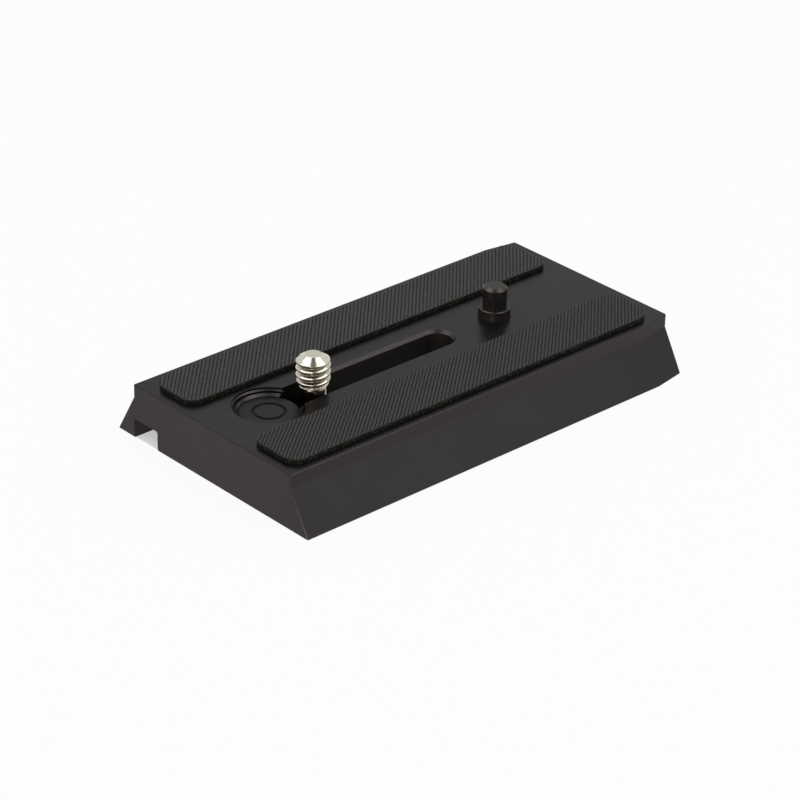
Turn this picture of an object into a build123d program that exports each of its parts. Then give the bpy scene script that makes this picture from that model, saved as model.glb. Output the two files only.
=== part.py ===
from build123d import *
from math import cos, radians, sin, tan
import os

os.makedirs("parts", exist_ok=True)

# Tripod quick release plate, in millimetres.
# X runs along the plate from its square near end to its tapered far end, Y from front to back,
# and Z up from the surface that the plate stands on. The origin is under the middle of the plate.

# Plate section
plate_length = 90.0
plate_top_width = 41.4
plate_height = 10.4
side_strip = 2.5          # upright part of each long side, below the top face
dovetail_angle = 29.7     # lean of the dovetail flank from upright, in degrees
foot_radius = 0.18        # rounding of the lower outer edges
edge_break = 0.12         # small bevel round the top face and the end faces

# Tapered lead-in at the far end
lead_length = 6.7
lead_depth = 1.1

# Groove along the underside, in line with the back of the top face
groove_width = 6.4
groove_depth = 3.7
groove_radius = 0.4       # rounding of the roof's corners
groove_lip = 0.5          # rounding of the mouth's inner edge

# Camera screw
screw_place = 22.75       # from the near end of the plate
head_diameter = 13.8
head_height = 3.5
head_edge = 0.35
coin_slot_width = 3.0
coin_slot_depth = 1.6
shank_diameter = 4.6
thread_diameter = 6.2
thread_gap = 0.35         # plain shank between the pads' tops and the thread
thread_length = 5.2
thread_runout = 0.2
tip_diameter = 3.2
tip_height = 0.9

# Slot for the screw, and the pocket under it for the screw's head
slot_place = 12.9         # near end of the slot's centre line, from the near end of the plate
slot_length = 39.0        # between the centres of the rounded ends
slot_width = 5.5
slot_bevel = 0.55
head_side_gap = 0.4
head_seat_gap = 0.1
head_recess = 0.6         # how far the head stays above the plate's underside
pocket_bevel = 0.3

# Keyhole at the near end of the slot, and the plug that closes it
keyhole_diameter = 10.0
ledge_height = 0.8
plug_diameter = 10.5
plug_gap = 0.05
plug_depth = 1.15         # top of the plug below the plate's top face
plug_edge = 0.2
ring_diameter = 5.5
ring_width = 0.7
ring_depth = 0.45
rim_diameter = 13.0
rim_depth = 0.35
step_width = 0.25
step_fall = 0.25          # slope of the step, inwards
step_depth = 0.1          # wall below the step
cone_gap = 0.55           # flat ring between the step and the cone

# Rubber pads
pad_width = 11.0
front_pad_margin = 1.7    # top face in front of the front strip
rear_pad_margin = 1.95    # top face behind the rear strip
pad_near_margin = 2.1
pad_far_margin = 2.6
pad_height = 0.95
pad_corner = 2.5
pad_round_corner = 4.0    # one corner of each strip
rib_height = 0.25
furrow_width = 0.26       # at the top of the ribs
furrow_floor = 0.1
front_rib_pitch = 0.6
front_rib_near_angle = 38.0
front_rib_far_angle = 44.5
rear_rib_pitch = 0.65
rear_rib_angle = 46.0

# Sprung pin with its bush and retainer
pin_spacing = 13.9        # from the far end of the slot's centre line
pin_diameter = 4.4        # free end, above the bush
guide_diameter = 4.8      # stretch that runs in the bush
pin_rise = 6.0            # above the plate's top face
pin_bevel = 0.5
pin_cap = 2.6             # solid stretch above the spring's bore
spring_bore_diameter = 3.1
flange_diameter = 6.4
flange_height = 1.2
flange_gap = 0.1
running_gap = 0.05
bush_wall = 0.35
bush_height = 1.8
bush_foot = 0.2           # how much wider the collar is than the bush
bush_taper = 0.16
bush_bevel = 0.12
pin_web = 2.2             # plate left above the pin's chamber
chamber_gap = 0.4
retainer_height = 1.4
retainer_recess = 0.3
retainer_slot_width = 1.0
retainer_slot_depth = 0.6
press_gap = 0.02
spring_wire = 0.4         # across the corners of the six-sided wire
spring_side_gap = 0.2
spring_end_gap = 0.05
spring_turns = 6
wire_sides = 6

# Stop pins in the groove
stop_diameter = 2.4
stop_place = 6.0          # from each end of the plate
stop_drop = 2.2           # below the roof of the groove
stop_bury = 3.0
stop_edge = 0.3

# Places and sizes that follow
near_end = -plate_length / 2
far_end = plate_length / 2
lead_start = far_end - lead_length
strip_foot = plate_height - side_strip
dovetail_flare = strip_foot * tan(radians(dovetail_angle))
groove_y = plate_top_width / 2 - groove_width / 2

slot_near = near_end + slot_place
slot_far = slot_near + slot_length
slot_middle = (slot_near + slot_far) / 2
pocket_width = head_diameter + 2 * head_side_gap
pocket_depth = head_recess + head_height + head_seat_gap

screw_x = near_end + screw_place
head_top = head_recess + head_height
thread_start = plate_height + pad_height + thread_gap
screw_tip = thread_start + thread_length

rim_radius = rim_diameter / 2
step_radius = rim_radius - step_width
cone_radius = step_radius - cone_gap
plug_radius = plug_diameter / 2
seat_radius = plug_radius + plug_gap
ledge_z = pocket_depth + ledge_height
plug_top = plate_height - plug_depth
rim_floor = plate_height - rim_depth
step_edge = rim_floor - step_fall
step_floor = step_edge - step_depth

pad_length = plate_length - pad_near_margin - pad_far_margin
pad_x = near_end + pad_near_margin + pad_length / 2
front_pad_y = -plate_top_width / 2 + front_pad_margin + pad_width / 2
rear_pad_y = plate_top_width / 2 - rear_pad_margin - pad_width / 2

pin_x = slot_far + pin_spacing
pin_radius = pin_diameter / 2
guide_radius = guide_diameter / 2
pin_top = plate_height + pin_rise
chamber_radius = flange_diameter / 2 + chamber_gap
chamber_roof = plate_height - pin_web
flange_top = chamber_roof - flange_gap
flange_floor = flange_top - flange_height
bush_bore = guide_radius + running_gap
bush_radius = bush_bore + bush_wall
bush_top = plate_height + bush_height
retainer_top = retainer_recess + retainer_height
spring_radius = spring_bore_diameter / 2 - spring_side_gap - spring_wire / 2
spring_foot = retainer_top + spring_wire / 2 + spring_end_gap
spring_head = pin_top - pin_cap - spring_wire / 2 - spring_end_gap

stop_places = [(near_end + stop_place, groove_y), (far_end - stop_place, groove_y)]


def upright_plane(x):
    """Plane through the upright axis at (x, 0): its own x is the radius, its own y the height."""
    return Plane((x, 0, 0), x_dir=(1, 0, 0), z_dir=(0, -1, 0))


def upright_axis(x):
    """Upright axis at (x, 0)."""
    return Axis((x, 0, 0), (0, 0, 1))


def plate_section(x, inset):
    """Section of the plate at station x, with each side drawn in by inset."""
    half_top = plate_top_width / 2 - inset
    half_foot = half_top + dovetail_flare
    with BuildSketch(Plane.YZ.offset(x)) as section:
        Polygon(
            (-half_top, plate_height),
            (-half_top, strip_foot),
            (-half_foot, 0),
            (half_foot, 0),
            (half_top, strip_foot),
            (half_top, plate_height),
            align=None,
        )
        fillet(section.vertices().group_by(Axis.Y)[0], foot_radius)
    return section.sketch


# Plate: the dovetail section, drawn in along the lead-in, then bevelled and machined
with BuildPart() as plate_body:
    extrude(plate_section(near_end, 0), amount=plate_length - lead_length)
    loft([plate_section(lead_start, 0), plate_section(far_end, lead_depth)], ruled=True)
    outer_faces = [
        plate_body.faces().sort_by(Axis.Z)[-1],
        plate_body.faces().sort_by(Axis.X)[0],
        plate_body.faces().sort_by(Axis.X)[-1],
    ]
    outer_edges = ShapeList()
    for face in outer_faces:
        outer_edges += [edge for edge in face.edges() if edge not in outer_edges]
    chamfer(outer_edges, edge_break)

    # Groove for a tripod head's safety catch
    with BuildSketch(Plane.YZ.offset(near_end)) as groove:
        with Locations((groove_y, 0)):
            Rectangle(groove_width, groove_depth, align=(Align.CENTER, Align.MIN))
        fillet(groove.vertices().group_by(Axis.Y)[-1], groove_radius)
    extrude(amount=plate_length, mode=Mode.SUBTRACT)
    along = plate_body.edges().filter_by(Axis.X)
    inner_lip = along.group_by(Axis.Z)[0].sort_by_distance((0, groove_y - groove_width / 2, 0))[0]
    fillet(inner_lip, groove_lip)

    # Slot with its bevelled top edge
    with BuildSketch() as slot:
        with Locations((slot_middle, 0)):
            SlotCenterToCenter(slot_length, slot_width)
    extrude(amount=plate_height, mode=Mode.SUBTRACT)
    slot_rim = plate_body.faces().sort_by(Axis.Z)[-1].inner_wires()[0]
    chamfer(slot_rim.edges(), slot_bevel)

    # Pocket for the screw's head
    with BuildSketch() as pocket:
        with Locations((slot_middle, 0)):
            SlotCenterToCenter(slot_length, pocket_width)
    extrude(amount=pocket_depth, mode=Mode.SUBTRACT)
    underside = plate_body.faces().filter_by(Plane.XY).group_by(Axis.Z)[0].sort_by(SortBy.AREA)[-1]
    chamfer(underside.inner_wires()[0].edges(), pocket_bevel)

    # Keyhole: bore, ledge for the plug, cone, sloping step and rim
    with BuildSketch(upright_plane(slot_near)) as keyhole:
        Polygon(
            (0, pocket_depth),
            (keyhole_diameter / 2, pocket_depth),
            (keyhole_diameter / 2, ledge_z),
            (seat_radius, ledge_z),
            (seat_radius, plug_top),
            (cone_radius, step_floor),
            (step_radius, step_floor),
            (step_radius, step_edge),
            (rim_radius, rim_floor),
            (rim_radius, plate_height),
            (0, plate_height),
            align=None,
        )
    revolve(axis=upright_axis(slot_near), mode=Mode.SUBTRACT)

    # Chamber for the sprung pin, with the bush's hole above it
    with BuildSketch() as chamber:
        with Locations((pin_x, 0)):
            Circle(chamber_radius)
    extrude(amount=chamber_roof, mode=Mode.SUBTRACT)
    with BuildSketch() as bush_hole:
        with Locations((pin_x, 0)):
            Circle(bush_radius + press_gap)
    extrude(amount=plate_height, mode=Mode.SUBTRACT)

    # Holes for the stop pins, in the roof of the groove
    with BuildSketch(Plane.XY.offset(groove_depth)) as stop_holes:
        with Locations(*stop_places):
            Circle(stop_diameter / 2 + press_gap)
    extrude(amount=stop_bury, mode=Mode.SUBTRACT)
plate_body.part.label = "plate_body"
export_step(plate_body.part, "parts/plate_body.step")


def ribbed_pad(name, centre_y, round_end, pitch, near_angle, far_angle):
    """Rubber strip on the top face, cut by slanting furrows whose angle changes evenly along it.

    round_end is 0 where the rounder corner is the near one at the back, -1 where it is the far one in front.
    """
    crest_z = plate_height + pad_height
    furrow_mouth = furrow_floor + 1.5 * (furrow_width - furrow_floor)
    furrow_planes = []
    x = -(pad_length + pad_width) / 2
    while x < (pad_length + pad_width) / 2:
        angle = radians(near_angle + (far_angle - near_angle) * (x / pad_length + 0.5))
        furrow_planes.append(Plane(
            (pad_x + x, centre_y, crest_z),
            x_dir=(sin(angle), -cos(angle), 0),
            z_dir=(-cos(angle), -sin(angle), 0),
        ))
        x += pitch / sin(angle)
    with BuildPart() as pad:
        with BuildSketch(Plane.XY.offset(plate_height)) as outline:
            with Locations((pad_x, centre_y)):
                Rectangle(pad_length, pad_width)
            corners = outline.vertices()
            round_corner = corners.group_by(Axis.X)[round_end].sort_by(Axis.Y)[-1 - round_end]
            fillet([corner for corner in corners if corner is not round_corner], pad_corner)
            fillet(outline.vertices().sort_by_distance(round_corner)[0], pad_round_corner)
        extrude(amount=pad_height)
        with BuildSketch(*furrow_planes):
            Polygon(
                (-furrow_mouth / 2, rib_height / 2),
                (-furrow_floor / 2, -rib_height),
                (furrow_floor / 2, -rib_height),
                (furrow_mouth / 2, rib_height / 2),
                align=None,
            )
        extrude(amount=pad_width, both=True, mode=Mode.SUBTRACT)
    pad.part.label = name
    export_step(pad.part, f"parts/{name}.step")


# Rubber pads: a strip in front of the slot, and one behind it, turned end for end
ribbed_pad("front_pad", front_pad_y, -1, front_rib_pitch, front_rib_near_angle, front_rib_far_angle)
ribbed_pad("rear_pad", rear_pad_y, 0, rear_rib_pitch, rear_rib_angle, rear_rib_angle)

# Camera screw: coin-slotted head, slim shank and a thread at its full diameter
with BuildPart() as camera_screw:
    with BuildSketch(upright_plane(screw_x)):
        Polygon(
            (0, head_recess),
            (head_diameter / 2 - head_edge, head_recess),
            (head_diameter / 2, head_recess + head_edge),
            (head_diameter / 2, head_top - head_edge),
            (head_diameter / 2 - head_edge, head_top),
            (shank_diameter / 2, head_top),
            (shank_diameter / 2, thread_start),
            (thread_diameter / 2, thread_start + thread_runout),
            (thread_diameter / 2, screw_tip - tip_height),
            (tip_diameter / 2, screw_tip),
            (0, screw_tip),
            align=None,
        )
    revolve(axis=upright_axis(screw_x))
    with BuildSketch(Plane.XY.offset(head_recess)):
        with Locations((screw_x, 0)):
            Rectangle(coin_slot_width, head_diameter)
    extrude(amount=coin_slot_depth, mode=Mode.SUBTRACT)
camera_screw.part.label = "camera_screw"
export_step(camera_screw.part, "parts/camera_screw.step")

# Keyhole plug: flat disc with a ring mark in its top
with BuildPart() as keyhole_plug:
    with BuildSketch(upright_plane(slot_near)):
        Polygon(
            (0, ledge_z),
            (plug_radius - plug_edge, ledge_z),
            (plug_radius, ledge_z + plug_edge),
            (plug_radius, plug_top - plug_edge),
            (plug_radius - plug_edge, plug_top),
            (ring_diameter / 2 + ring_width / 2, plug_top),
            (ring_diameter / 2 + ring_width / 2, plug_top - ring_depth),
            (ring_diameter / 2 - ring_width / 2, plug_top - ring_depth),
            (ring_diameter / 2 - ring_width / 2, plug_top),
            (0, plug_top),
            align=None,
        )
    revolve(axis=upright_axis(slot_near))
keyhole_plug.part.label = "keyhole_plug"
export_step(keyhole_plug.part, "parts/keyhole_plug.step")

# Pin bush: spigot in the plate and a tapered collar above it
with BuildPart() as pin_bush:
    collar_foot = bush_radius + bush_foot
    collar_top = collar_foot - bush_taper
    with BuildSketch(upright_plane(pin_x)):
        Polygon(
            (bush_bore, chamber_roof),
            (bush_radius, chamber_roof),
            (bush_radius, plate_height),
            (collar_foot, plate_height),
            (collar_top, bush_top - bush_bevel),
            (collar_top - bush_bevel, bush_top),
            (bush_bore, bush_top),
            align=None,
        )
    revolve(axis=upright_axis(pin_x))
pin_bush.part.label = "pin_bush"
export_step(pin_bush.part, "parts/pin_bush.step")

# Video pin: hollow from below for the spring, with a flange that keeps it in
with BuildPart() as video_pin:
    with BuildSketch(upright_plane(pin_x)):
        Polygon(
            (spring_bore_diameter / 2, flange_floor),
            (flange_diameter / 2, flange_floor),
            (flange_diameter / 2, flange_top),
            (guide_radius, flange_top),
            (guide_radius, bush_top),
            (pin_radius, bush_top),
            (pin_radius, pin_top - pin_bevel),
            (pin_radius - pin_bevel, pin_top),
            (0, pin_top),
            (0, pin_top - pin_cap),
            (spring_bore_diameter / 2, pin_top - pin_cap),
            align=None,
        )
    revolve(axis=upright_axis(pin_x))
video_pin.part.label = "video_pin"
export_step(video_pin.part, "parts/video_pin.step")

# Pin spring: open coil from the retainer up into the pin
with BuildPart() as pin_spring:
    with BuildLine() as coil:
        coil_height = spring_head - spring_foot
        Helix(coil_height / spring_turns, coil_height, spring_radius, center=(pin_x, 0, spring_foot))
    with BuildSketch(Plane(coil.line @ 0, x_dir=(1, 0, 0), z_dir=coil.line % 0)):
        RegularPolygon(spring_wire / 2, wire_sides)
    sweep(is_frenet=True)
pin_spring.part.label = "pin_spring"
export_step(pin_spring.part, "parts/pin_spring.step")

# Pin retainer: slotted plug in the mouth of the chamber
with BuildPart() as pin_retainer:
    with BuildSketch(Plane.XY.offset(retainer_recess)):
        with Locations((pin_x, 0)):
            Circle(chamber_radius - press_gap)
    extrude(amount=retainer_height)
    with BuildSketch(Plane.XY.offset(retainer_recess)):
        with Locations((pin_x, 0)):
            Rectangle(2 * chamber_radius, retainer_slot_width)
    extrude(amount=retainer_slot_depth, mode=Mode.SUBTRACT)
pin_retainer.part.label = "pin_retainer"
export_step(pin_retainer.part, "parts/pin_retainer.step")

# Stop pins: one near each end of the groove
with BuildPart() as stop_pins:
    with BuildSketch(Plane.XY.offset(groove_depth - stop_drop)):
        with Locations(*stop_places):
            Circle(stop_diameter / 2)
    extrude(amount=stop_drop + stop_bury)
    chamfer(stop_pins.edges().filter_by(GeomType.CIRCLE).group_by(Axis.Z)[0], stop_edge)
stop_pins.part.label = "stop_pins"
export_step(stop_pins.part, "parts/stop_pins.step")
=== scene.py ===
"""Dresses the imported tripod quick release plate: finishes, threaded screw, spring, stage and camera."""

import math

import bmesh
import bpy
from bpy.props import FloatProperty, FloatVectorProperty, IntProperty, PointerProperty
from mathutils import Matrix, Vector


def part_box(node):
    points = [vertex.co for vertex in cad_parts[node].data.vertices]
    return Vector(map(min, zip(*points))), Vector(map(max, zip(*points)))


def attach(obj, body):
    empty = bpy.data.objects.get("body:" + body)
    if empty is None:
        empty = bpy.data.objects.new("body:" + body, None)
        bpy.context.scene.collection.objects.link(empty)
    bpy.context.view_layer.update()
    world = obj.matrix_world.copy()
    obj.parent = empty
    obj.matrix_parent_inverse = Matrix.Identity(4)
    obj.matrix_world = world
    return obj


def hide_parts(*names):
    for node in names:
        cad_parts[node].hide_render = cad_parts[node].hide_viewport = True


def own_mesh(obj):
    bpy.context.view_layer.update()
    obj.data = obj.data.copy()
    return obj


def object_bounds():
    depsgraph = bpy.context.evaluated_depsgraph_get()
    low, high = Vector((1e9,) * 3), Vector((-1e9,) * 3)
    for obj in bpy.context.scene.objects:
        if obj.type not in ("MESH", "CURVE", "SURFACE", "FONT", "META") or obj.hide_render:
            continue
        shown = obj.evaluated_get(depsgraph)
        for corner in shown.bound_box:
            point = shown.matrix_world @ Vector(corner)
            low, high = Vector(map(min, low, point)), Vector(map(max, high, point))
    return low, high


bl_info = {
    "name": "Tripod Quick Release Plate",
    "version": (1, 0, 0),
    "blender": (4, 5, 0),
    "location": "View3D > Sidebar > Release Plate",
    "description": "Finishes, threaded screw, spring and studio stage for a tripod quick release plate",
    "category": "Object",
}

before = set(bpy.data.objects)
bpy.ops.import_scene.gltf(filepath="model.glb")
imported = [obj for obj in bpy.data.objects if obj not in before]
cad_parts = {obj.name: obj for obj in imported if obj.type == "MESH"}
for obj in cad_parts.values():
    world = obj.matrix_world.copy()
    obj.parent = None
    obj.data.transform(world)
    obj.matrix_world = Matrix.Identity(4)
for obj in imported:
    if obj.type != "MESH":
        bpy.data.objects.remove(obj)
CAD_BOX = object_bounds()
NEAR_END = CAD_BOX[0][0]
PLATE_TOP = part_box("plate_body")[1].z
PAD_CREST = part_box("front_pad")[1].z
PLUG_LOW, PLUG_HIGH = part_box("keyhole_plug")
SCREW_LOW, SCREW_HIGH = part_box("camera_screw")
SPRING_LOW, SPRING_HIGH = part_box("pin_spring")

# Stretches of the plate that get painted light or shade, or have a tone of their own, in metres
EDGE_BREAK = 0.00012  # bevel above the near end, which gets painted shade
CONE_WIDTH = 0.00045  # reach of the keyhole's cone, which gets a painted highlight, from the plug's rim
RING_DEPTH = 0.00045  # ring mark in the plug
SLOT_START, SLOT_END = -0.024, 0.0099  # the slot's dull walls, darkened with painted shade, along the plate
SLOT_REACH = 0.0029  # the slot's walls from the plate's middle line
BEVEL_START, BEVEL_END = -0.0266, -0.0196  # the stretch of the slot's back bevel that is darkened with painted shade
BEVEL_REACH = 0.0006  # that bevel on either side of the slot's reach
RIB_HEIGHT = 0.00025  # ribs of the pads
SKIN = 0.00002  # distance that keeps two faces, or a mask and a face, apart

# Stretches of the floor, in metres
TAPER_LENGTH = 0.0078  # lead-in at the far end, which lets light in under the plate
FLOOR_INSET = 0.0003  # the painted shadow of the covered floor ends this far inside the plate's outline
FRONT_DEPTH = 0.03  # the floor in front of the plate that gets a painted shadow for glossy rays

# Parts of a surface's normal along an axis
SLANT = 0.7  # a bevel of 45 degrees
NORMAL_REACH = 0.2  # how far a bevel or a wall may stray from its value
FLAT_REACH = 0.05  # how far a flat face may stray from its value
WALL_NORMAL, TOP_NORMAL = 0.15, 0.45  # rubber gets the painted shade of a cut wall below the first and a top's tone above the second
FURROW_LIFT = 0.26  # added over the ribs' height, where steep flanks count as tops

# Where the room's dim patches begin and are full, by how far a direction reaches along a heading
FRONT_LIMITS = (-0.3, 0.0)  # the front patch along its heading
SIDE_LIMITS = (-0.24, -0.1)  # the front patch towards either side
HEIGHT_LIMITS = (0.3, 0.5)  # the front patch upwards
BACK_LIMITS = (0.93, 1.0)  # the patch at the back
FAR_LIMITS = (0.85, 1.0)  # the patch past the far end

WELD_DISTANCE = 1e-7  # metres
SMOOTH_ANGLE = math.radians(28)
SENSOR_WIDTH = 36.0  # millimetres
UP = (0.0, 0.0, 1.0)


class FinishSettings(bpy.types.PropertyGroup):
    """Colours and surfaces of the plate's materials."""

    anodised_colour: FloatVectorProperty(
        name="Anodised", description="Black of the anodised aluminium", subtype="COLOR",
        min=0, max=1, default=(0.0460, 0.0398, 0.0392))
    anodised_roughness: FloatProperty(
        name="Anodised roughness", description="Roughness of the anodised faces", subtype="FACTOR",
        min=0, max=1, default=0.3)
    # The cone's paler tone is a painted highlight.
    cone_highlight_gain: FloatProperty(
        name="Cone gain", description="Brightness of the keyhole's turned cone against the plate",
        min=0, max=4, default=1.4)
    # The flat ring's darker tone is painted shade.
    ring_shade_gain: FloatProperty(
        name="Ring gain", min=0, max=4, default=0.2,
        description="Brightness of the flat ring round the keyhole's cone against the plate")
    # The near end's paler tone is painted light, and the darker bevel above it is painted shade.
    end_light_gain: FloatProperty(
        name="End gain", description="Brightness of the sawn near end against the plate",
        min=0, max=4, default=1.09)
    edge_shade_gain: FloatProperty(
        name="Edge gain", description="Brightness of the bevel above the near end against the plate",
        min=0, max=4, default=0.6)
    # The slot walls' darker colour is painted shade in the recess; their roughness is their own.
    slot_shade_colour: FloatVectorProperty(
        name="Slot", description="Black of the slot's milled walls", subtype="COLOR",
        min=0, max=1, default=(0.0318, 0.0266, 0.0230))
    slot_roughness: FloatProperty(
        name="Slot roughness", description="Roughness of the slot's milled walls", subtype="FACTOR",
        min=0, max=1, default=0.65)
    # The bevel's darker stretch is painted shade.
    bevel_shade_gain: FloatProperty(
        name="Bevel gain", description="Brightness of the slot's back bevel where it meets the keyhole",
        min=0, max=4, default=0.2)
    plug_colour: FloatVectorProperty(
        name="Plug", description="Black of the disc in the keyhole", subtype="COLOR",
        min=0, max=1, default=(0.0340, 0.0297, 0.0282))
    plug_roughness: FloatProperty(
        name="Plug roughness", description="Roughness of the disc in the keyhole", subtype="FACTOR",
        min=0, max=1, default=0.3)
    ring_colour: FloatVectorProperty(
        name="Ring mark", description="Dull tone of the ring mark in the keyhole's disc", subtype="COLOR",
        min=0, max=1, default=(0.036, 0.031, 0.028))
    ring_roughness: FloatProperty(
        name="Ring roughness", description="Roughness of the ring mark", subtype="FACTOR",
        min=0, max=1, default=0.9)
    rubber_colour: FloatVectorProperty(
        name="Rubber", description="Black of the ribbed pads", subtype="COLOR",
        min=0, max=1, default=(0.0522, 0.0492, 0.0472))
    front_gain: FloatProperty(
        name="Front gain", description="Brightness of the front pad against the rubber's black",
        min=0, max=4, default=0.95)
    rear_gain: FloatProperty(
        name="Rear gain", description="Brightness of the dustier rear pad against the rubber's black",
        min=0, max=4, default=1.09)
    dust_colour: FloatVectorProperty(
        name="Dust", description="Pale dust that lies on the rubber", subtype="COLOR",
        min=0, max=1, default=(0.16, 0.157, 0.152))
    # The walls' near-black is painted shade on the faces that look sideways.
    rubber_wall_shade_colour: FloatVectorProperty(
        name="Rubber wall", description="Black of the pads' cut walls", subtype="COLOR",
        min=0, max=1, default=(0.006, 0.005, 0.0035))
    wall_dust_colour: FloatVectorProperty(
        name="Wall dust", description="Brown dust that clings to the pads' walls", subtype="COLOR",
        min=0, max=1, default=(0.030, 0.026, 0.017))
    nickel_colour: FloatVectorProperty(
        name="Nickel", description="Warm tone of the nickel plated screw", subtype="COLOR",
        min=0, max=1, default=(0.625, 0.565, 0.465))
    nickel_roughness: FloatProperty(
        name="Nickel roughness", description="Roughness of the nickel plating", subtype="FACTOR",
        min=0, max=1, default=0.14)
    # Painted shade: this gain darkens the thread's furrows towards the roots.
    furrow_shade_gain: FloatProperty(
        name="Furrow gain", description="Brightness of the thread's grimy furrows against its crests",
        min=0, max=4, default=0.45)
    steel_colour: FloatVectorProperty(
        name="Black steel", description="Black of the pin, its bush and its retainer", subtype="COLOR",
        min=0, max=1, default=(0.0620, 0.0530, 0.0475))
    steel_roughness: FloatProperty(
        name="Black steel roughness", description="Roughness of the pin, its bush and its retainer",
        subtype="FACTOR", min=0, max=1, default=0.24)
    bright_colour: FloatVectorProperty(
        name="Bright steel", description="Bare steel of the spring and the stop pins", subtype="COLOR",
        min=0, max=1, default=(0.56, 0.56, 0.56))
    bright_roughness: FloatProperty(
        name="Bright steel roughness", description="Roughness of the spring and the stop pins",
        subtype="FACTOR", min=0, max=1, default=0.3)


class ScrewSettings(bpy.types.PropertyGroup):
    """Sizes of the threaded camera screw that the frame's box doesn't give."""

    head_height: FloatProperty(
        name="Head height", description="Height of the slotted head", unit="LENGTH", default=0.0035)
    head_edge: FloatProperty(
        name="Head edge", description="Bevel round the head", unit="LENGTH", default=0.00035)
    shank_diameter: FloatProperty(
        name="Shank", description="Diameter of the plain shank", unit="LENGTH", default=0.0046)
    thread_diameter: FloatProperty(
        name="Thread", description="Diameter over the thread's crests", unit="LENGTH", default=0.00608)
    root_diameter: FloatProperty(
        name="Root", description="Diameter at the bottom of the thread", unit="LENGTH", default=0.0048)
    thread_length: FloatProperty(
        name="Thread length", description="Threaded stretch with its tip", unit="LENGTH", default=0.00615)
    thread_runout: FloatProperty(
        name="Run-out", description="Height over which the thread fades into the shank", unit="LENGTH",
        default=0.0022)
    thread_phase: FloatProperty(
        name="Thread phase", description="Where round the screw the thread begins, in turns", default=0.118)
    thread_pitch: FloatProperty(
        name="Pitch", description="Rise of the thread in one turn", unit="LENGTH", default=0.00127)
    tip_diameter: FloatProperty(
        name="Tip", description="Diameter of the flat at the tip", unit="LENGTH", default=0.0030)
    tip_height: FloatProperty(
        name="Tip height", description="Height of the conical tip", unit="LENGTH", default=0.00095)
    coin_slot_width: FloatProperty(
        name="Coin slot width", description="Width of the slot in the head", unit="LENGTH", default=0.003)
    coin_slot_depth: FloatProperty(
        name="Coin slot depth", description="Depth of the slot in the head", unit="LENGTH", default=0.0016)
    segments: IntProperty(
        name="Segments", description="Facets round the screw", min=24, max=256, default=144)
    row_height: FloatProperty(
        name="Row height", description="Height of one row of faces in the thread", unit="LENGTH",
        default=0.00004)


class SpringSettings(bpy.types.PropertyGroup):
    """Sizes of the coil spring under the pin."""

    wire_diameter: FloatProperty(
        name="Wire", description="Diameter of the spring's wire", unit="LENGTH", default=0.0004)
    turns: IntProperty(
        name="Turns", description="Turns of the coil", min=2, max=20, default=6)
    steps_per_turn: IntProperty(
        name="Steps", description="Points along one turn of the coil", min=8, max=64, default=24)


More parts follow.
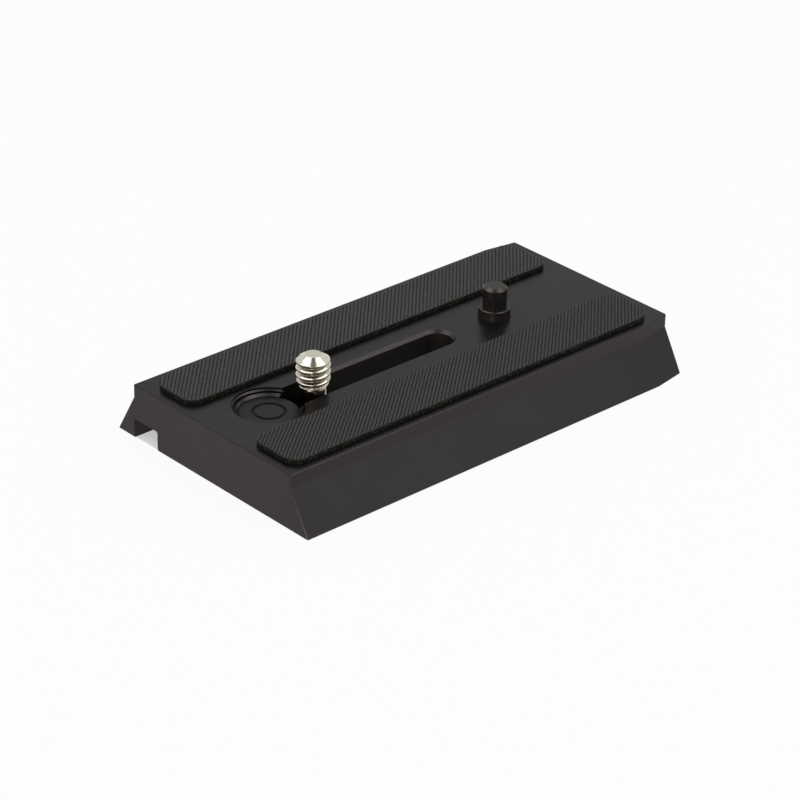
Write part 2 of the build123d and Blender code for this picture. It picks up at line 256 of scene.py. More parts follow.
class StageSettings(bpy.types.PropertyGroup):
    """Floor, light and camera."""

    floor_size: FloatProperty(
        name="Floor", description="Width of the floor", unit="LENGTH", default=6.0)
    floor_colour: FloatVectorProperty(
        name="Floor colour", description="White of the floor's matt share", subtype="COLOR",
        min=0, max=1, default=(0.9, 0.9, 0.9))
    floor_shade: FloatProperty(
        name="Shadow share", description="How much of the object's shadow the white floor shows",
        subtype="FACTOR", min=0, max=1, default=0.08)
    # Under the plate's outline the floor's glow gives way to a painted shadow.
    covered_glow: FloatProperty(
        name="Covered glow", description="Brightness of the floor under the plate", subtype="FACTOR",
        min=0, max=1, default=0.5)
    # The dimmer floor before the near end is a painted shadow for glossy rays.
    front_shade: FloatProperty(
        name="Front shade", subtype="FACTOR", min=0, max=1, default=0.6,
        description="How much dimmer the floor before the near end looks in glossy faces")
    room_colour: FloatVectorProperty(
        name="Room", description="Cool white of the surroundings", subtype="COLOR",
        min=0, max=1, default=(0.925, 0.985, 1.0))
    room_light: FloatProperty(
        name="Room light", description="Strength of the white surroundings on matt surfaces",
        min=0, default=0.5)
    dim_share: FloatProperty(
        name="Dim share", description="How much dimmer the room's front looks in glossy faces",
        subtype="FACTOR", min=0, max=1, default=0.8)
    back_share: FloatProperty(
        name="Back share", description="How much dimmer the room's back looks in glossy faces",
        subtype="FACTOR", min=0, max=1, default=0.15)
    back_heading: FloatVectorProperty(
        name="Back heading", description="Direction in which the room's back is dimmest",
        subtype="DIRECTION", default=(0.42, 0.70, 0.58))
    side_share: FloatProperty(
        name="Side share", description="How much dimmer the room past the far end looks in glossy faces",
        subtype="FACTOR", min=0, max=1, default=0.23)
    side_heading: FloatVectorProperty(
        name="Side heading", description="Direction in which the room past the far end is dimmest",
        subtype="DIRECTION", default=(0.855, -0.453, 0.252))
    front_heading: FloatVectorProperty(
        name="Front heading", description="Level direction in which the room's dim front lies",
        subtype="DIRECTION", default=(-0.6818, -0.7318, 0.0))
    left_power: FloatProperty(
        name="Left light", description="Power of the softbox above the back of the near end",
        unit="POWER", default=1.45)
    left_place: FloatVectorProperty(
        name="Left place", description="Where the softbox above the back of the near end hangs",
        subtype="TRANSLATION", default=(-0.293, 0.273, 0.693))
    right_power: FloatProperty(
        name="Right light", description="Power of the softbox above the front of the far end",
        unit="POWER", default=1.45)
    right_place: FloatVectorProperty(
        name="Right place", description="Where the softbox above the front of the far end hangs",
        subtype="TRANSLATION", default=(0.298, -0.278, 0.689))
    softbox_size: FloatProperty(
        name="Softbox", description="Width of both softboxes", unit="LENGTH", default=0.56)
    fill_power: FloatProperty(
        name="Fill light", description="Power of the low lamp in front", unit="POWER", default=1.0)
    fill_place: FloatVectorProperty(
        name="Fill place", description="Where the low lamp in front stands", subtype="TRANSLATION",
        default=(-0.633, -0.457, 0.168))
    fill_size: FloatProperty(
        name="Fill lamp", description="Width of the low lamp", unit="LENGTH", default=0.3)
    edge_power: FloatProperty(
        name="Edge light", description="Power of the small lamp that the dovetail mirrors", unit="POWER",
        default=0.009)
    edge_place: FloatVectorProperty(
        name="Edge place", description="Where the small lamp that the dovetail mirrors stands",
        subtype="TRANSLATION", default=(0.190, -0.245, 0.093))
    edge_size: FloatProperty(
        name="Edge lamp", description="Width of the small lamp", unit="LENGTH", default=0.12)
    camera_place: FloatVectorProperty(
        name="Camera place", description="Where the camera stands", subtype="TRANSLATION",
        default=(-0.33270, -0.35515, 0.26218))
    camera_turn: FloatVectorProperty(
        name="Camera turn", description="Rotation of the camera", subtype="EULER",
        default=(1.07685, -0.02155, -0.73846))
    camera_lens: FloatProperty(
        name="Lens", description="Focal length on a 36 mm sensor", unit="CAMERA", default=140.29)


def calculate(tree, operation, *values):
    """The result of a maths node; each value may be a number or a socket."""
    node = tree.nodes.new("ShaderNodeMath")
    node.operation = operation
    for socket, value in zip(node.inputs, values):
        if isinstance(value, bpy.types.NodeSocket):
            tree.links.new(value, socket)
        else:
            socket.default_value = value
    return node.outputs[0]


def multiply(tree, first, *others):
    """The product of two or more sockets."""
    for other in others:
        first = calculate(tree, "MULTIPLY", first, other)
    return first


def compare(tree, source, middle, reach):
    """A mask of 1 where a value is within reach of a middle value."""
    return calculate(tree, "COMPARE", source, middle, reach)


def between(tree, source, low, high):
    """A mask of 1 where a value is from low to high."""
    return compare(tree, source, (low + high) / 2, (high - low) / 2)


def map_range(tree, source, start, end, low=0.0, high=1.0, shape="LINEAR"):
    """Goes from low to high as a value goes from start to end."""
    node = tree.nodes.new("ShaderNodeMapRange")
    node.interpolation_type = shape
    node.inputs["From Min"].default_value = start
    node.inputs["From Max"].default_value = end
    node.inputs["To Min"].default_value = low
    node.inputs["To Max"].default_value = high
    tree.links.new(source, node.inputs["Value"])
    return node.outputs["Result"]


def spread(tree, source, low, high):
    """Maps a 0 to 1 value to the range from low to high."""
    return map_range(tree, source, 0.0, 1.0, low, high)


def vector_node(tree, operation, source, second):
    """A vector maths node for a socket and a fixed second vector."""
    node = tree.nodes.new("ShaderNodeVectorMath")
    node.operation = operation
    node.inputs[1].default_value = second
    tree.links.new(source, node.inputs[0])
    return node


def surface_parts(tree):
    """The places and the normals of a surface, each split into X, Y and Z."""
    source = tree.nodes.new("ShaderNodeTexCoord")
    split = []
    for output in ("Object", "Normal"):
        parts = tree.nodes.new("ShaderNodeSeparateXYZ")
        tree.links.new(source.outputs[output], parts.inputs["Vector"])
        split.append(parts.outputs)
    return split


def axis_distance(tree, centre):
    """How far a surface is from the upright axis through a centre."""
    place = tree.nodes.new("ShaderNodeTexCoord")
    level = vector_node(tree, "MULTIPLY", place.outputs["Object"], (1.0, 1.0, 0.0))
    away = vector_node(tree, "DISTANCE", level.outputs["Vector"], (centre.x, centre.y, 0.0))
    return away.outputs["Value"]


def add_socket(group, name, in_out, socket_type, default=None):
    """Adds a named socket to a node group."""
    socket = group.interface.new_socket(name=name, in_out=in_out, socket_type=socket_type)
    if default is not None:
        socket.default_value = default


def fine_grain_group():
    """Shader group: fine speckle and slow clouding of a surface, both from 0 to 1."""
    group = bpy.data.node_groups.get("Fine Grain")
    if group:
        return group
    group = bpy.data.node_groups.new("Fine Grain", "ShaderNodeTree")
    add_socket(group, "Grain Scale", "INPUT", "NodeSocketFloat", 9000.0)
    add_socket(group, "Cloud Scale", "INPUT", "NodeSocketFloat", 60.0)
    add_socket(group, "Grain", "OUTPUT", "NodeSocketFloat")
    add_socket(group, "Cloud", "OUTPUT", "NodeSocketFloat")
    nodes = group.nodes
    links = group.links
    entry = nodes.new("NodeGroupInput")
    leave = nodes.new("NodeGroupOutput")
    place = nodes.new("ShaderNodeTexCoord")
    for output, scale in (("Grain", "Grain Scale"), ("Cloud", "Cloud Scale")):
        noise = nodes.new("ShaderNodeTexNoise")
        noise.name = output
        noise.inputs["Detail"].default_value = 3.0
        links.new(place.outputs["Object"], noise.inputs["Vector"])
        links.new(entry.outputs[scale], noise.inputs["Scale"])
        links.new(noise.outputs["Fac"], leave.inputs[output])
    return group


def dust_group():
    """Shader group: a mask of sparse pale specks of dust."""
    group = bpy.data.node_groups.get("Dust Specks")
    if group:
        return group
    group = bpy.data.node_groups.new("Dust Specks", "ShaderNodeTree")
    add_socket(group, "Cell Scale", "INPUT", "NodeSocketFloat", 420.0)
    add_socket(group, "Speck Size", "INPUT", "NodeSocketFloat", 0.035)
    add_socket(group, "Share", "INPUT", "NodeSocketFloat", 0.12)
    add_socket(group, "Mask", "OUTPUT", "NodeSocketFloat")
    nodes = group.nodes
    links = group.links
    entry = nodes.new("NodeGroupInput")
    leave = nodes.new("NodeGroupOutput")
    place = nodes.new("ShaderNodeTexCoord")
    cells = nodes.new("ShaderNodeTexVoronoi")
    links.new(place.outputs["Object"], cells.inputs["Vector"])
    links.new(entry.outputs["Cell Scale"], cells.inputs["Scale"])
    near = calculate(group, "LESS_THAN", cells.outputs["Distance"], entry.outputs["Speck Size"])
    tint = nodes.new("ShaderNodeSeparateColor")
    links.new(cells.outputs["Color"], tint.inputs["Color"])
    chosen = calculate(group, "LESS_THAN", tint.outputs["Red"], entry.outputs["Share"])
    links.new(multiply(group, near, chosen), leave.inputs["Mask"])
    return group


def smooth_group():
    """Geometry group: welds a node's facets and shades it smooth, apart from its real edges."""
    group = bpy.data.node_groups.get("Smooth Facets")
    if group:
        return group
    group = bpy.data.node_groups.new("Smooth Facets", "GeometryNodeTree")
    add_socket(group, "Geometry", "INPUT", "NodeSocketGeometry")
    add_socket(group, "Geometry", "OUTPUT", "NodeSocketGeometry")
    nodes = group.nodes
    links = group.links
    entry = nodes.new("NodeGroupInput")
    leave = nodes.new("NodeGroupOutput")
    weld = nodes.new("GeometryNodeMergeByDistance")
    weld.inputs["Distance"].default_value = WELD_DISTANCE
    angle = nodes.new("GeometryNodeInputMeshEdgeAngle")
    gentle = nodes.new("FunctionNodeCompare")
    gentle.operation = "LESS_THAN"
    gentle.inputs["B"].default_value = SMOOTH_ANGLE
    faces = nodes.new("GeometryNodeSetShadeSmooth")
    edges = nodes.new("GeometryNodeSetShadeSmooth")
    edges.domain = "EDGE"
    links.new(entry.outputs[0], weld.inputs["Geometry"])
    links.new(weld.outputs[0], faces.inputs["Geometry"])
    links.new(faces.outputs[0], edges.inputs["Geometry"])
    links.new(angle.outputs["Unsigned Angle"], gentle.inputs["A"])
    links.new(gentle.outputs["Result"], edges.inputs["Shade Smooth"])
    links.new(edges.outputs[0], leave.inputs[0])
    return group


def new_material(name):
    """A material with a bare Principled shader, and that shader."""
    material = bpy.data.materials.new(name)
    material.use_nodes = True
    return material, material.node_tree.nodes["Principled BSDF"]


def place_group(tree, group, **values):
    """Places a node group in a material with its own values."""
    node = tree.nodes.new("ShaderNodeGroup")
    node.node_tree = group
    for socket, value in values.items():
        node.inputs[socket.replace("_", " ").title()].default_value = value
    return node


def mix_colours(tree, factor, first, second):
    """Mixes two colours; each may be a colour or a socket."""
    node = tree.nodes.new("ShaderNodeMix")
    node.data_type = "RGBA"
    tree.links.new(factor, node.inputs["Factor"])
    # A mix node's colours are its inputs 6 and 7 and its output 2
    for index, colour in ((6, first), (7, second)):
        if isinstance(colour, bpy.types.NodeSocket):
            tree.links.new(colour, node.inputs[index])
        else:
            node.inputs[index].default_value = (*colour, 1.0)
    return node.outputs[2]


def tinted(colour, factor):
    """A colour made lighter or darker by a factor."""
    return tuple(min(1.0, part * factor) for part in colour)


def clouded(tree, grain, colour, darkest, palest):
    """A colour that a grain group's clouding varies between two factors."""
    return mix_colours(tree, grain.outputs["Cloud"], tinted(colour, darkest), tinted(colour, palest))


def grainy_roughness(tree, shader, grain, middle, reach):
    """Lets a grain group's speckle vary a shader's roughness about a middle value."""
    rough = spread(tree, grain.outputs["Grain"], middle - reach, middle + reach)
    tree.links.new(rough, shader.inputs["Roughness"])


def grainy_bump(tree, shader, grain, distance, strength):
    """Feeds a grain group's speckle into a shader's normal."""
    node = tree.nodes.new("ShaderNodeBump")
    node.inputs["Distance"].default_value = distance
    node.inputs["Strength"].default_value = strength
    tree.links.new(grain.outputs["Grain"], node.inputs["Height"])
    tree.links.new(node.outputs["Normal"], shader.inputs["Normal"])


def black_metal_material(name, colour, roughness, metallic, cloud_scale):
    """Blackened metal: a dark, even sheen with faint clouding, speckle and a little dust."""
    material, shader = new_material(name)
    tree = material.node_tree
    grain = place_group(tree, fine_grain_group(), grain_scale=7000.0, cloud_scale=cloud_scale)
    dust = place_group(tree, dust_group(), cell_scale=260.0, speck_size=0.02, share=0.05)
    ground = clouded(tree, grain, colour, darkest=0.88, palest=1.12)
    tone = mix_colours(tree, dust.outputs["Mask"], ground, tinted(colour, factor=2.2))
    tree.links.new(tone, shader.inputs["Base Color"])
    grainy_roughness(tree, shader, grain, middle=roughness, reach=0.05)
    shader.inputs["Metallic"].default_value = metallic
    shader.inputs["Specular Tint"].default_value = (0.65, 0.65, 0.65, 1.0)
    shader.inputs["Specular IOR Level"].default_value = 0.2
    grainy_bump(tree, shader, grain, distance=0.00001, strength=0.08)
    return material


def rubber_material(name, finish, gain):
    """Dull black rubber: mottled, dusty crests over darker furrows, and cut walls facing sideways in
    near-black painted shade with clinging dust.
    """
    material, shader = new_material(name)
    tree = material.node_tree
    grain = place_group(tree, fine_grain_group(), grain_scale=3200.0, cloud_scale=1500.0)
    dust = place_group(tree, dust_group(), cell_scale=900.0, speck_size=0.11, share=0.07)
    ground = clouded(tree, grain, finish.rubber_colour, darkest=0.5 * gain, palest=1.5 * gain)
    dusty = mix_colours(tree, dust.outputs["Mask"], ground, finish.dust_colour)
    clinging = place_group(tree, dust_group(), cell_scale=2200.0, speck_size=0.5, share=0.5)
    wall = mix_colours(
        tree, clinging.outputs["Mask"], finish.rubber_wall_shade_colour, finish.wall_dust_colour)
    place, normal = surface_parts(tree)
    ribbed = compare(tree, place["Z"], PAD_CREST, RIB_HEIGHT)
    lifted = calculate(tree, "MULTIPLY_ADD", ribbed, FURROW_LIFT, normal["Z"])
    # Faces that look sideways get the walls' painted shade, upward faces the rubber's tone.
    upward = map_range(tree, lifted, WALL_NORMAL, TOP_NORMAL)
    tree.links.new(mix_colours(tree, upward, wall, dusty), shader.inputs["Base Color"])
    grainy_roughness(tree, shader, grain, middle=0.75, reach=0.15)
    shader.inputs["Specular IOR Level"].default_value = 0.15
    grainy_bump(tree, shader, grain, distance=0.00004, strength=0.3)
    return material


def metal_material(name, colour, roughness, grain_scale):
    """Bright metal with fine turning marks."""
    material, shader = new_material(name)
    tree = material.node_tree
    grain = place_group(tree, fine_grain_group(), grain_scale=grain_scale, cloud_scale=400.0)
    tone = clouded(tree, grain, colour, darkest=0.92, palest=1.06)
    tree.links.new(tone, shader.inputs["Base Color"])
    grainy_roughness(tree, shader, grain, middle=roughness, reach=0.04)
    shader.inputs["Metallic"].default_value = 1.0
    grainy_bump(tree, shader, grain, distance=0.000006, strength=0.06)
    return material


def scale_tone(material, mask, gain):
    """Makes the masked part of a material's colour lighter or darker by a gain."""
    tree = material.node_tree
    base = tree.nodes["Principled BSDF"].inputs["Base Color"]
    plain = base.links[0].from_socket
    changed = tree.nodes.new("ShaderNodeVectorMath")
    changed.operation = "SCALE"
    changed.inputs["Scale"].default_value = gain
    tree.links.new(plain, changed.inputs[0])
    tree.links.new(mix_colours(tree, mask, plain, changed.outputs["Vector"]), base)


def tone_patch(material, mask, colour, roughness):
    """Gives the masked part of a material a colour and a roughness of its own."""
    tree = material.node_tree
    shader = tree.nodes["Principled BSDF"]
    plain = shader.inputs["Base Color"].links[0].from_socket
    tree.links.new(mix_colours(tree, mask, plain, colour), shader.inputs["Base Color"])
    rough = tree.nodes.new("ShaderNodeMix")
    tree.links.new(mask, rough.inputs["Factor"])
    tree.links.new(shader.inputs["Roughness"].links[0].from_socket, rough.inputs["A"])
    rough.inputs["B"].default_value = roughness
    tree.links.new(rough.outputs["Result"], shader.inputs["Roughness"])


def recess_painted_light(material, cone_highlight_gain, ring_shade_gain):
    """Paints light into the keyhole's recess: a painted highlight makes the turned cone round the plug
    paler than the plate, and painted shade makes the flat ring darker.
    """
    tree = material.node_tree
    place, normal = surface_parts(tree)
    plug_radius = (PLUG_HIGH.x - PLUG_LOW.x) / 2
    distance = axis_distance(tree, (PLUG_LOW + PLUG_HIGH) / 2)
    inner = compare(tree, distance, plug_radius, CONE_WIDTH)
    level = compare(tree, normal["Z"], 1.0, FLAT_REACH)
    sunk = between(tree, place["Z"], PLUG_HIGH.z + SKIN, PLATE_TOP - SKIN)
    scale_tone(material, multiply(tree, inner, sunk), cone_highlight_gain)
    scale_tone(material, multiply(tree, level, sunk), ring_shade_gain)


def end_painted_light(material, end_light_gain, edge_shade_gain):
    """Paints light on the near end: painted light makes the plate's sawn near end paler than the rest, and
    painted shade makes the bevel above it darker.
    """
    tree = material.node_tree
    place, normal = surface_parts(tree)
    near = compare(tree, place["X"], NEAR_END, EDGE_BREAK + SKIN)
    sawn = compare(tree, normal["X"], -1.0, FLAT_REACH)
    outward = compare(tree, normal["X"], -SLANT, NORMAL_REACH)
    upward = compare(tree, normal["Z"], SLANT, NORMAL_REACH)
    scale_tone(material, multiply(tree, near, sawn), end_light_gain)
    scale_tone(material, multiply(tree, near, outward, upward), edge_shade_gain)


def slot_shade(material, colour, roughness):
    """Makes the upright walls of the screw's slot duller than the plate, and darker with painted shade."""
    tree = material.node_tree
    place, normal = surface_parts(tree)
    along = between(tree, place["X"], SLOT_START, SLOT_END)
    across = compare(tree, place["Y"], 0.0, SLOT_REACH)
    upright = compare(tree, normal["Z"], 0.0, NORMAL_REACH)
    tone_patch(material, multiply(tree, along, across, upright), colour, roughness)


def bevel_shade(material, gain):
    """Darkens the slot's back bevel towards the keyhole with painted shade."""
    tree = material.node_tree
    place, normal = surface_parts(tree)
    fade = map_range(tree, place["X"], BEVEL_END, (BEVEL_START + BEVEL_END) / 2)
    along = between(tree, place["X"], BEVEL_START, BEVEL_END)
    across = compare(tree, place["Y"], SLOT_REACH, BEVEL_REACH)
    sloped = compare(tree, normal["Z"], SLANT, NORMAL_REACH)
    scale_tone(material, multiply(tree, along, across, sloped, fade), gain)


def ring_tone(material, colour, roughness):
    """Gives the ring mark in the plug's top a dull tone of its own, which isn't metallic."""
    tree = material.node_tree
    metallic = tree.nodes["Principled BSDF"].inputs["Metallic"]
    place = surface_parts(tree)[0]
    sunk = between(tree, place["Z"], PLUG_HIGH.z - RING_DEPTH - 2 * SKIN, PLUG_HIGH.z - SKIN)
    tone_patch(material, sunk, colour, roughness)
    tree.links.new(spread(tree, sunk, metallic.default_value, 0.0), metallic)


def furrow_shade(material, centre, sizes, gain):
    """Darkens a thread with painted shade from its crests down to its roots."""
    tree = material.node_tree
    place = surface_parts(tree)[0]
    distance = axis_distance(tree, centre)
    depth = map_range(tree, distance, sizes.thread_diameter / 2, sizes.root_diameter / 2)
    start = SCREW_HIGH.z - sizes.thread_length
    threaded = between(tree, place["Z"], start + sizes.tip_height, SCREW_HIGH.z - sizes.tip_height)
    scale_tone(material, multiply(tree, depth, threaded), gain)


def dress_node(name, material):
    """Gives a CAD node a finish and smooth shading, with its shape as it is."""
    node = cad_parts[name]
    node.data.materials.clear()
    node.data.materials.append(material)
    modifier = node.modifiers.new("Smooth facets", "NODES")
    modifier.node_group = smooth_group()


def new_piece(name, mesh, material, body, replaced):
    """Makes a piece of the scene that rides on a body and stands for a CAD node."""
    mesh.materials.clear()
    mesh.materials.append(material)
    piece = bpy.data.objects.new(name, mesh)
    bpy.context.scene.collection.objects.link(piece)
    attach(piece, body)
    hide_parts(replaced)
    return piece


def thread_wave(share, crest=0.16, root=0.1, straight=0.8):
    """Height of a rolled thread's section over one pitch, from 0 at the root to 1 at the crest.

    The crest's and the root's flats are shares of the pitch, and straight is how little a flank bends.
    """
    flank = (1 - crest - root) / 2
    share = share % 1.0
    if share < root:
        rise = 0.0
    elif share < root + flank:
        rise = (share - root) / flank
    elif share < root + flank + crest:
        rise = 1.0
    else:
        rise = (1 - share) / flank
    return straight * rise + (1 - straight) * rise * rise * (3 - 2 * rise)


def screw_rows(sizes):
    """Rows of the screw from its head to its tip: a height, a radius for each facet, a sharp mark."""
    foot = SCREW_LOW.z
    top = SCREW_HIGH.z
    head_radius = (SCREW_HIGH.x - SCREW_LOW.x) / 2
    head_top = foot + sizes.head_height
    shank = sizes.shank_diameter / 2
    crest = sizes.thread_diameter / 2
    root = sizes.root_diameter / 2
    start = top - sizes.thread_length
    tip = sizes.tip_diameter / 2
    count = sizes.segments
    plain = [
        (foot, head_radius - sizes.head_edge),
        (foot + sizes.head_edge, head_radius),
        (head_top - sizes.head_edge, head_radius),
        (head_top, head_radius - sizes.head_edge),
        (head_top, shank),
        (start, shank),
    ]
    rows = [(height, [radius] * count, True) for height, radius in plain]
    steps = round(sizes.thread_length / sizes.row_height)
    for step in range(1, steps + 1):
        height = start + sizes.thread_length * step / steps
        faded = max(0.0, 1.0 - (height - start) / sizes.thread_runout)
        lead_in = shank + (crest - shank) * (1.0 - faded ** 2)
        limit = min(lead_in, tip + (crest - tip) * (top - height) / sizes.tip_height)
        radii = []
        for index in range(count):
            turn = index / count
            wave = thread_wave((height - start) / sizes.thread_pitch - turn + sizes.thread_phase)
            radii.append(min(limit, root + (crest - root) * wave))
        rows.append((height, radii, step == steps))
    return rows


def skin_rows(rows, centre):
    """Mesh through closed rows of points about the upright axis through a centre, with flat ends."""
    made = bmesh.new()
    loops = []
    for height, radii, sharp in rows:
        count = len(radii)
        loop = []
        for index, radius in enumerate(radii):
            angle = 2 * math.pi * index / count
            loop.append(made.verts.new((
                centre.x + radius * math.cos(angle), centre.y + radius * math.sin(angle), height)))
        loops.append((loop, sharp))
    for (lower, _), (upper, _) in zip(loops, loops[1:]):
        for index in range(len(lower)):
            following = (index + 1) % len(lower)
            face = made.faces.new((lower[index], lower[following], upper[following], upper[index]))
            face.smooth = True
    made.faces.new(list(reversed(loops[0][0])))
    made.faces.new(loops[-1][0])
    for loop, sharp in loops:
        if sharp:
            for index in range(len(loop)):
                edge = made.edges.get((loop[index], loop[(index + 1) % len(loop)]))
                edge.smooth = False
    mesh = bpy.data.meshes.new("skin")
    made.to_mesh(mesh)
    made.free()
    return mesh


def cut_box(mesh, low, high):
    """A mesh with a box cut out of it."""
    cutter_mesh = bpy.data.meshes.new("cutter")
    made = bmesh.new()
    bmesh.ops.create_cube(made, size=1.0)
    for vert in made.verts:
        vert.co = [low[axis] if vert.co[axis] < 0 else high[axis] for axis in range(3)]
    made.to_mesh(cutter_mesh)
    made.free()
    collection = bpy.context.scene.collection
    cutter = bpy.data.objects.new("cutter", cutter_mesh)
    whole = bpy.data.objects.new("whole", mesh)
    collection.objects.link(cutter)
    collection.objects.link(whole)
    modifier = whole.modifiers.new("Cut", "BOOLEAN")
    modifier.object = cutter
    modifier.operation = "DIFFERENCE"
    modifier.solver = "EXACT"
    bpy.context.view_layer.update()
    evaluated = whole.evaluated_get(bpy.context.evaluated_depsgraph_get())
    result = bpy.data.meshes.new_from_object(evaluated)
    bpy.data.objects.remove(whole)
    bpy.data.objects.remove(cutter)
    return result


def coil_mesh(sizes, centre):
    """Mesh of a round wire wound into a coil that fills the spring's box."""
    wire = sizes.wire_diameter / 2
    radius = (SPRING_HIGH.x - SPRING_LOW.x) / 2 - wire
    foot = SPRING_LOW.z + wire
    rise = SPRING_HIGH.z - SPRING_LOW.z - 2 * wire
    count = sizes.turns * sizes.steps_per_turn
    curve = bpy.data.curves.new("coil", "CURVE")
    curve.dimensions = "3D"
    curve.bevel_depth = wire
    curve.bevel_resolution = 3
    curve.use_fill_caps = True
    line = curve.splines.new("POLY")
    line.points.add(count)
    for index, point in enumerate(line.points):
        angle = 2 * math.pi * index / sizes.steps_per_turn
        point.co = (centre.x + radius * math.cos(angle), centre.y + radius * math.sin(angle),
                    foot + rise * index / count, 1.0)
    coil = bpy.data.objects.new("coil", curve)
    mesh = bpy.data.meshes.new_from_object(coil)
    bpy.data.objects.remove(coil)
    for polygon in mesh.polygons:
        polygon.use_smooth = True
    return mesh


class RELEASEPLATE_OT_plate(bpy.types.Operator):
    """Finishes the anodised plate and the plug in its keyhole"""

    bl_idname = "release_plate.plate"
    bl_label = "Plate and Plug"

    def execute(self, context):
        finish = context.scene.release_plate_finish
        anodised = black_metal_material(
            "Anodised black", finish.anodised_colour, finish.anodised_roughness,
            metallic=0.93, cloud_scale=55.0)
        recess_painted_light(anodised, finish.cone_highlight_gain, finish.ring_shade_gain)
        end_painted_light(anodised, finish.end_light_gain, finish.edge_shade_gain)
        slot_shade(anodised, finish.slot_shade_colour, finish.slot_roughness)
        bevel_shade(anodised, finish.bevel_shade_gain)
        dress_node("plate_body", anodised)
        plug = black_metal_material(
            "Plug black", finish.plug_colour, finish.plug_roughness, metallic=0.9, cloud_scale=300.0)
        ring_tone(plug, finish.ring_colour, finish.ring_roughness)
        dress_node("keyhole_plug", plug)
        return {"FINISHED"}


class RELEASEPLATE_OT_pads(bpy.types.Operator):
    """Finishes the two ribbed rubber pads"""

    bl_idname = "release_plate.pads"
    bl_label = "Rubber Pads"

    def execute(self, context):
        finish = context.scene.release_plate_finish
        dress_node("front_pad", rubber_material("Front rubber", finish, finish.front_gain))
        dress_node("rear_pad", rubber_material("Rear rubber", finish, finish.rear_gain))
        return {"FINISHED"}


class RELEASEPLATE_OT_screw(bpy.types.Operator):
    """Builds the camera screw with its thread and its coin slot"""

    bl_idname = "release_plate.screw"
    bl_label = "Camera Screw"

    def execute(self, context):
        finish = context.scene.release_plate_finish
        sizes = context.scene.release_plate_screw
        centre = (SCREW_LOW + SCREW_HIGH) / 2
        half = sizes.coin_slot_width / 2
        margin = 0.001
        mesh = cut_box(
            skin_rows(screw_rows(sizes), centre),
            (centre.x - half, SCREW_LOW.y - margin, SCREW_LOW.z - margin),
            (centre.x + half, SCREW_HIGH.y + margin, SCREW_LOW.z + sizes.coin_slot_depth))
        material = metal_material(
            "Nickel plating", finish.nickel_colour, finish.nickel_roughness, grain_scale=4000.0)
        furrow_shade(material, centre, sizes, finish.furrow_shade_gain)
        new_piece("threaded_screw", mesh, material, "screw", "camera_screw")
        return {"FINISHED"}


class RELEASEPLATE_OT_pin(bpy.types.Operator):
    """Finishes the sprung pin, its bush and its retainer"""

    bl_idname = "release_plate.pin"
    bl_label = "Pin and Bush"

    def execute(self, context):
        finish = context.scene.release_plate_finish
        material = black_metal_material(
            "Black steel", finish.steel_colour, finish.steel_roughness, metallic=0.8, cloud_scale=300.0)
        for name in ("video_pin", "pin_bush", "pin_retainer"):
            dress_node(name, material)
        return {"FINISHED"}


class RELEASEPLATE_OT_spring(bpy.types.Operator):
    """Builds the coil spring and finishes the stop pins"""

    bl_idname = "release_plate.spring"
    bl_label = "Spring and Stop Pins"

    def execute(self, context):
        finish = context.scene.release_plate_finish
        centre = (SPRING_LOW + SPRING_HIGH) / 2
        mesh = coil_mesh(context.scene.release_plate_spring, centre)
        material = metal_material(
            "Bright steel", finish.bright_colour, finish.bright_roughness, grain_scale=5000.0)
        spring = new_piece("coil_spring", mesh, material, "plate", "pin_spring")
        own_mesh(spring)
        dress_node("stop_pins", material)
        return {"FINISHED"}


def shown_rays(tree):
    """A mask of 1 for camera, glossy and transmission rays."""
    path = tree.nodes.new("ShaderNodeLightPath")
    shown = path.outputs["Is Camera Ray"]
    for name in ("Is Glossy Ray", "Is Transmission Ray"):
        shown = calculate(tree, "MAXIMUM", shown, path.outputs[name])
    return shown


def within(tree, heading, limits):
    """A soft mask of the room, from 0 to 1, by how far a direction reaches along a heading."""
    place = tree.nodes.new("ShaderNodeTexCoord")
    reach = vector_node(tree, "DOT_PRODUCT", place.outputs["Generated"], heading)
    return map_range(tree, reach.outputs["Value"], *limits, shape="SMOOTHSTEP")


def add_lamp(name, power, size, place):
    """A square area lamp that looks at the origin."""
    lamp = bpy.data.lights.new(name, "AREA")
    lamp.energy = power
    lamp.size = size
    item = bpy.data.objects.new(name, lamp)
    item.location = place
    item.rotation_euler = item.location.to_track_quat("Z", "Y").to_euler()
    item.visible_camera = False
    bpy.context.scene.collection.objects.link(item)


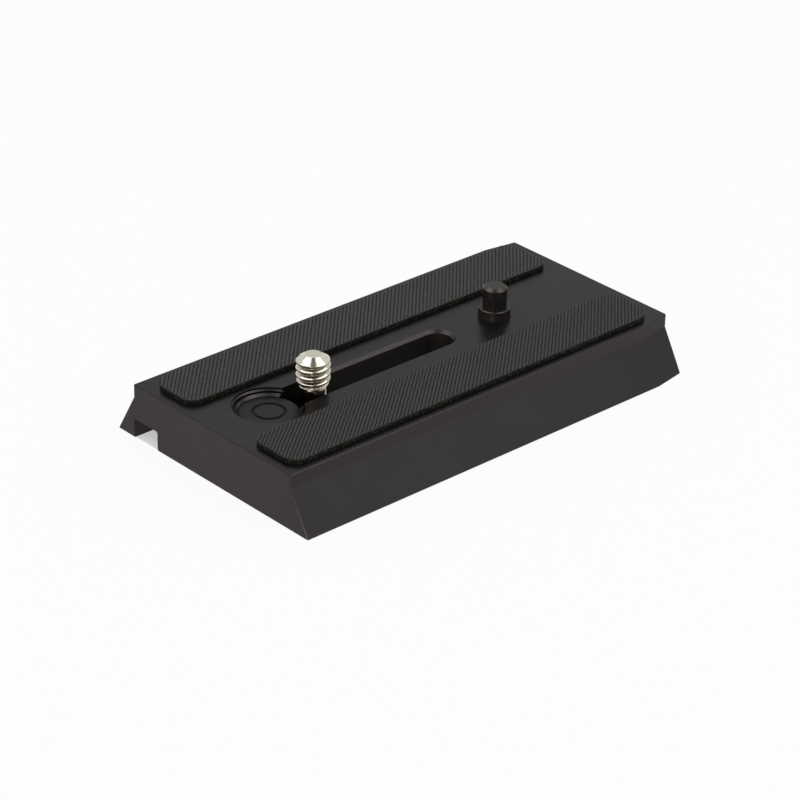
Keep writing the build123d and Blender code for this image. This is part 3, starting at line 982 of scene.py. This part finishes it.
class RELEASEPLATE_OT_stage(bpy.types.Operator):
    """Sets the white floor, the soft light and the camera"""

    bl_idname = "release_plate.stage"
    bl_label = "Stage and Camera"

    def execute(self, context):
        stage = context.scene.release_plate_stage
        self.add_floor(context, stage)
        self.light_room(context, stage)
        self.add_camera(context, stage)
        context.scene.view_settings.view_transform = "Standard"
        return {"FINISHED"}

    def add_floor(self, context, stage):
        """A wide pale floor under the plate, white to the camera, with a soft shadow."""
        half = stage.floor_size / 2
        mesh = bpy.data.meshes.new("floor")
        mesh.from_pydata(
            [(-half, -half, -SKIN), (half, -half, -SKIN), (half, half, -SKIN), (-half, half, -SKIN)],
            [], [(0, 1, 2, 3)])
        floor = bpy.data.objects.new("floor", mesh)
        context.scene.collection.objects.link(floor)
        material, shader = new_material("White floor")
        tree = material.node_tree
        shader.inputs["Base Color"].default_value = (*stage.floor_colour, 1.0)
        shader.inputs["Roughness"].default_value = 1.0
        shader.inputs["Specular IOR Level"].default_value = 0.0
        glow = tree.nodes.new("ShaderNodeEmission")
        glow.inputs["Color"].default_value = (1.0, 1.0, 1.0, 1.0)
        glow.inputs["Strength"].default_value = 1.0
        shown = shown_rays(tree)
        covered = self.plate_footprint_shadow(tree, stage.covered_glow)
        front = self.front_floor_shadow(tree, stage.front_shade)
        seen = multiply(tree, shown, covered, front)
        mix = tree.nodes.new("ShaderNodeMixShader")
        tree.links.new(calculate(tree, "MULTIPLY", seen, 1 - stage.floor_shade), mix.inputs["Fac"])
        tree.links.new(shader.outputs[0], mix.inputs[1])
        tree.links.new(glow.outputs[0], mix.inputs[2])
        tree.links.new(mix.outputs[0], tree.nodes["Material Output"].inputs["Surface"])
        mesh.materials.append(material)

    def plate_footprint_shadow(self, tree, glow):
        """A mask that is the glow under the plate, up to its tapered end, and 1 outside it: a painted
        shadow in the plate's outline over the floor's own shadow.
        """
        low, high = CAD_BOX
        place = surface_parts(tree)[0]
        along = between(tree, place["X"], low[0] + FLOOR_INSET, high[0] - TAPER_LENGTH - FLOOR_INSET)
        across = between(tree, place["Y"], low[1] + FLOOR_INSET, high[1] - FLOOR_INSET)
        return spread(tree, multiply(tree, along, across), 1.0, glow)

    def front_floor_shadow(self, tree, shade):
        """A mask that dims the floor before the plate for glossy rays, most of all at the near end: a
        painted shadow that polished faces mirror.
        """
        low, high = CAD_BOX
        place = surface_parts(tree)[0]
        fade = map_range(tree, place["X"], high[0] + FRONT_DEPTH, low[0])
        across = between(tree, place["Y"], low[1] - FRONT_DEPTH, low[1])
        glossy = tree.nodes["Light Path"].outputs["Is Glossy Ray"]
        return spread(tree, multiply(tree, fade, across, glossy), 1.0, 1 - shade)

    def light_room(self, context, stage):
        """White surroundings with dimmer patches for glossy rays, two softboxes and two smaller lamps."""
        world = bpy.data.worlds.new("White room")
        world.use_nodes = True
        context.scene.world = world
        tree = world.node_tree
        ground = tree.nodes["Background"]
        ground.inputs["Color"].default_value = (*stage.room_colour, 1.0)
        strength = spread(tree, shown_rays(tree), stage.room_light, 1.0)
        front = stage.front_heading
        one_side = (-front.y, front.x, 0.0)
        other_side = (front.y, -front.x, 0.0)
        front_masks = (
            (front, FRONT_LIMITS),
            (one_side, SIDE_LIMITS),
            (other_side, SIDE_LIMITS),
            (UP, HEIGHT_LIMITS),
        )
        patches = (
            (stage.dim_share, front_masks),
            (stage.back_share, ((stage.back_heading, BACK_LIMITS),)),
            (stage.side_share, ((stage.side_heading, FAR_LIMITS),)),
        )
        for share, masks in patches:
            dimness = tree.nodes["Light Path"].outputs["Is Glossy Ray"]
            for heading, limits in masks:
                dimness = multiply(tree, dimness, within(tree, heading, limits))
            strength = calculate(tree, "MULTIPLY_ADD", dimness, -share, strength)
        tree.links.new(strength, ground.inputs["Strength"])
        lamps = (
            ("Left softbox", stage.left_power, stage.softbox_size, stage.left_place),
            ("Right softbox", stage.right_power, stage.softbox_size, stage.right_place),
            ("Low fill", stage.fill_power, stage.fill_size, stage.fill_place),
            ("Edge light", stage.edge_power, stage.edge_size, stage.edge_place),
        )
        for name, power, size, place in lamps:
            add_lamp(name, power, size, place)

    def add_camera(self, context, stage):
        """The camera at the photograph's angle."""
        lens = bpy.data.cameras.new("Camera")
        lens.sensor_width = SENSOR_WIDTH
        lens.lens = stage.camera_lens
        lens.clip_start = 0.01
        camera = bpy.data.objects.new("Camera", lens)
        camera.location = stage.camera_place
        camera.rotation_euler = stage.camera_turn
        context.scene.collection.objects.link(camera)
        context.scene.camera = camera


class RELEASEPLATE_PT_panel(bpy.types.Panel):
    """Lists the plate's pieces and the sizes and colours behind them"""

    bl_label = "Release Plate"
    bl_idname = "RELEASEPLATE_PT_panel"
    bl_space_type = "VIEW_3D"
    bl_region_type = "UI"
    bl_category = "Release Plate"

    def draw(self, context):
        layout = self.layout
        for operator in OPERATORS:
            layout.operator(operator.bl_idname)
        for name, settings in SETTINGS.items():
            group = getattr(context.scene, name)
            box = layout.box()
            for key in settings.__annotations__:
                box.prop(group, key)


SETTINGS = {
    "release_plate_finish": FinishSettings,
    "release_plate_screw": ScrewSettings,
    "release_plate_spring": SpringSettings,
    "release_plate_stage": StageSettings,
}
OPERATORS = (
    RELEASEPLATE_OT_plate,
    RELEASEPLATE_OT_pads,
    RELEASEPLATE_OT_screw,
    RELEASEPLATE_OT_pin,
    RELEASEPLATE_OT_spring,
    RELEASEPLATE_OT_stage,
)
CLASSES = (*SETTINGS.values(), *OPERATORS, RELEASEPLATE_PT_panel)


def register():
    """Registers the classes and hangs the settings on the scene."""
    for item in CLASSES:
        bpy.utils.register_class(item)
    for name, settings in SETTINGS.items():
        setattr(bpy.types.Scene, name, PointerProperty(type=settings))


def unregister():
    """Takes the settings and the classes away again."""
    for name in SETTINGS:
        delattr(bpy.types.Scene, name)
    for item in reversed(CLASSES):
        bpy.utils.unregister_class(item)


def main():
    """Builds every piece and the stage."""
    register()
    bpy.ops.release_plate.plate()
    bpy.ops.release_plate.pads()
    bpy.ops.release_plate.screw()
    bpy.ops.release_plate.pin()
    bpy.ops.release_plate.spring()
    bpy.ops.release_plate.stage()


if __name__ == "__main__":
    main()
